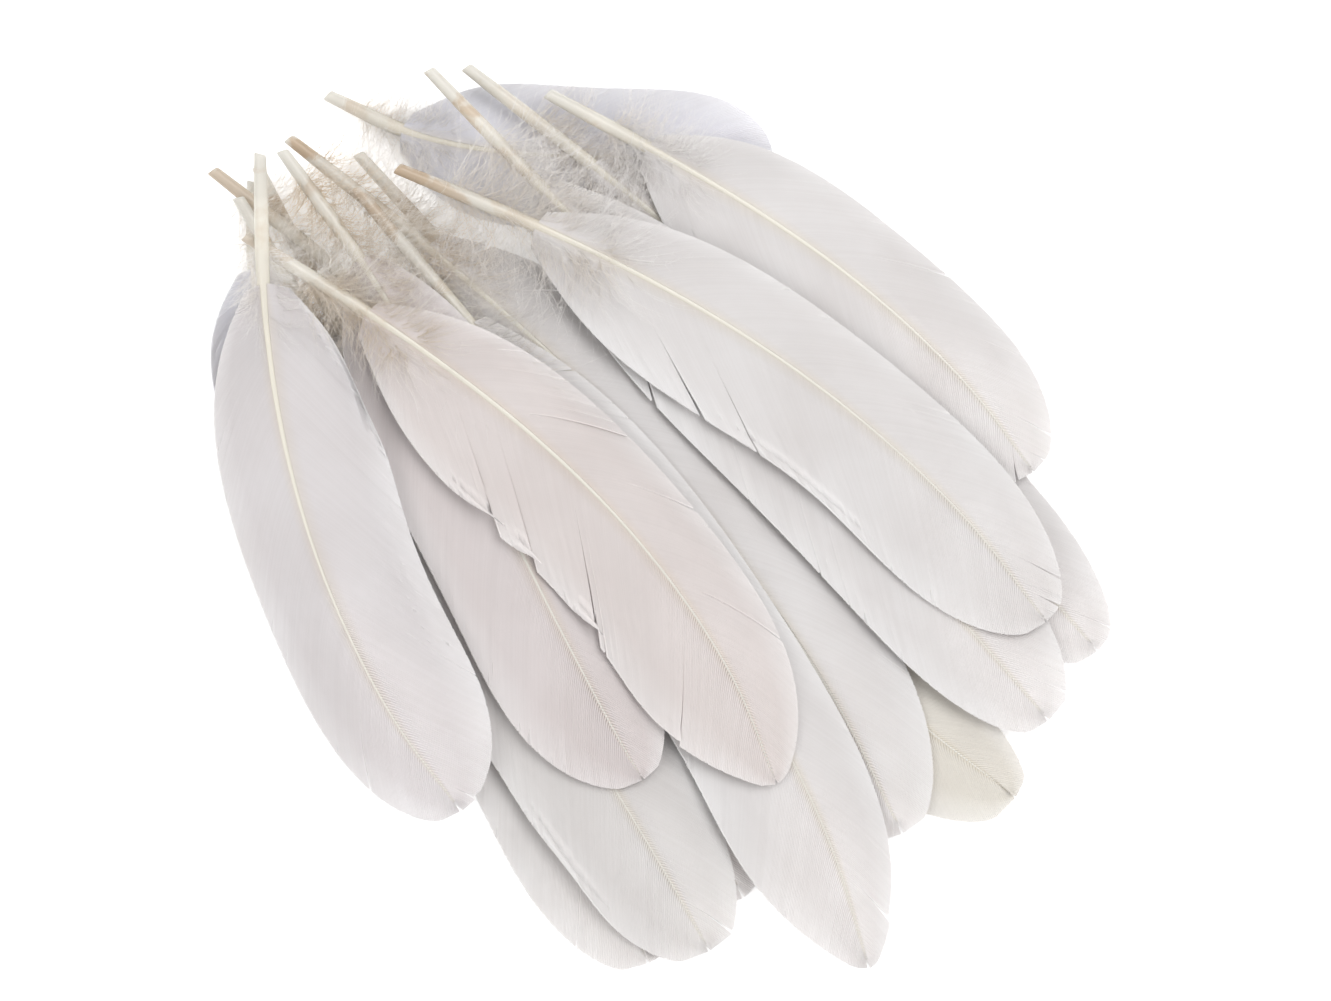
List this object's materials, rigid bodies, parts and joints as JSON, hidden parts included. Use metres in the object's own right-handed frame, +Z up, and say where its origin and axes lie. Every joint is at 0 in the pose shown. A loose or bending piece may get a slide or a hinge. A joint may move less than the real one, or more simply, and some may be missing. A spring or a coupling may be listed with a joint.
{
  "type": "quill feather bunch",
  "caption": "Fanned bunch of loose white goose quill feathers, undressed, for cutting into quill pens; each has a hollow barrel, curved shaft, two vanes and down.",
  "frame": {"origin": "middle of the bunch's underside, on the surface that it lies on", "axes": "+Z up; the quill ends point to -X +Y and the tips fan out to +X and -Y"},
  "size_m": [0.2004, 0.202, 0.0348],
  "materials": {
    "quill_horn": "satin",
    "vane_web": "matt",
    "down_fluff": "matt"
  },
  "bodies": {
    "quill_01": {"quill_01_shaft": "quill_horn", "quill_01_left_vane": "vane_web", "quill_01_right_vane": "vane_web", "quill_01_down": "down_fluff"},
    "quill_02": {"quill_02_shaft": "quill_horn", "quill_02_left_vane": "vane_web", "quill_02_right_vane": "vane_web", "quill_02_down": "down_fluff"},
    "quill_03": {"quill_03_shaft": "quill_horn", "quill_03_left_vane": "vane_web", "quill_03_right_vane": "vane_web", "quill_03_down": "down_fluff"},
    "quill_04": {"quill_04_shaft": "quill_horn", "quill_04_left_vane": "vane_web", "quill_04_right_vane": "vane_web", "quill_04_down": "down_fluff"},
    "quill_05": {"quill_05_shaft": "quill_horn", "quill_05_left_vane": "vane_web", "quill_05_right_vane": "vane_web", "quill_05_down": "down_fluff"},
    "quill_06": {"quill_06_shaft": "quill_horn", "quill_06_left_vane": "vane_web", "quill_06_right_vane": "vane_web", "quill_06_down": "down_fluff"},
    "quill_07": {"quill_07_shaft": "quill_horn", "quill_07_left_vane": "vane_web", "quill_07_right_vane": "vane_web", "quill_07_down": "down_fluff"},
    "quill_08": {"quill_08_shaft": "quill_horn", "quill_08_left_vane": "vane_web", "quill_08_right_vane": "vane_web", "quill_08_down": "down_fluff"},
    "quill_09": {"quill_09_shaft": "quill_horn", "quill_09_left_vane": "vane_web", "quill_09_right_vane": "vane_web", "quill_09_down": "down_fluff"},
    "quill_10": {"quill_10_shaft": "quill_horn", "quill_10_left_vane": "vane_web", "quill_10_right_vane": "vane_web", "quill_10_down": "down_fluff"},
    "quill_11": {"quill_11_shaft": "quill_horn", "quill_11_left_vane": "vane_web", "quill_11_right_vane": "vane_web", "quill_11_down": "down_fluff"},
    "quill_12": {"quill_12_shaft": "quill_horn", "quill_12_left_vane": "vane_web", "quill_12_right_vane": "vane_web", "quill_12_down": "down_fluff"},
    "quill_13": {"quill_13_shaft": "quill_horn", "quill_13_left_vane": "vane_web", "quill_13_right_vane": "vane_web", "quill_13_down": "down_fluff"},
    "quill_14": {"quill_14_shaft": "quill_horn", "quill_14_left_vane": "vane_web", "quill_14_right_vane": "vane_web", "quill_14_down": "down_fluff"},
    "quill_15": {"quill_15_shaft": "quill_horn", "quill_15_left_vane": "vane_web", "quill_15_right_vane": "vane_web", "quill_15_down": "down_fluff"}
  },
  "joints": [
    {"name": "quill_01_fan", "type": "hinge", "parent": "quill_02", "child": "quill_01", "pos_m": [-0.0735, 0.09398, 0.0026], "axis": [0, 0, 1], "range_deg": [-3, 3]},
    {"name": "quill_03_fan", "type": "hinge", "parent": "quill_02", "child": "quill_03", "pos_m": [-0.0425, 0.09997, 0.00804], "axis": [0, 0, 1], "range_deg": [-3, 3]},
    {"name": "quill_04_fan", "type": "hinge", "parent": "quill_02", "child": "quill_04", "pos_m": [-0.0895, 0.07497, 0.00275], "axis": [0, 0, 1], "range_deg": [-3, 3]},
    {"name": "quill_05_fan", "type": "hinge", "parent": "quill_02", "child": "quill_05", "pos_m": [-0.0885, 0.07798, 0.00695], "axis": [0, 0, 1], "range_deg": [-3, 3]},
    {"name": "quill_06_fan", "type": "hinge", "parent": "quill_02", "child": "quill_06", "pos_m": [-0.0985, 0.07698, 0.01156], "axis": [0, 0, 1], "range_deg": [-3, 3]},
    {"name": "quill_07_fan", "type": "hinge", "parent": "quill_02", "child": "quill_07", "pos_m": [-0.0815, 0.08397, 0.01473], "axis": [0, 0, 1], "range_deg": [-3, 3]},
    {"name": "quill_08_fan", "type": "hinge", "parent": "quill_02", "child": "quill_08", "pos_m": [-0.0925, 0.07097, 0.01486], "axis": [0, 0, 1], "range_deg": [-3, 3]},
    {"name": "quill_09_fan", "type": "hinge", "parent": "quill_02", "child": "quill_09", "pos_m": [-0.0245, 0.09398, 0.01107], "axis": [0, 0, 1], "range_deg": [-3, 3]},
    {"name": "quill_10_fan", "type": "hinge", "parent": "quill_02", "child": "quill_10", "pos_m": [-0.0505, 0.09897, 0.0175], "axis": [0, 0, 1], "range_deg": [-3, 3]},
    {"name": "quill_11_fan", "type": "hinge", "parent": "quill_02", "child": "quill_11", "pos_m": [-0.0665, 0.07297, 0.01853], "axis": [0, 0, 1], "range_deg": [-3, 3]},
    {"name": "quill_12_fan", "type": "hinge", "parent": "quill_02", "child": "quill_12", "pos_m": [-0.0825, 0.08098, 0.02301], "axis": [0, 0, 1], "range_deg": [-3, 3]},
    {"name": "quill_13_fan", "type": "hinge", "parent": "quill_02", "child": "quill_13", "pos_m": [-0.0575, 0.07698, 0.02151], "axis": [0, 0, 1], "range_deg": [-3, 3]},
    {"name": "quill_14_fan", "type": "hinge", "parent": "quill_02", "child": "quill_14", "pos_m": [-0.0905, 0.06198, 0.02749], "axis": [0, 0, 1], "range_deg": [-3, 3]},
    {"name": "quill_15_fan", "type": "hinge", "parent": "quill_02", "child": "quill_15", "pos_m": [-0.0865, 0.07998, 0.03411], "axis": [0, 0, 1], "range_deg": [-3, 3]}
  ]
}
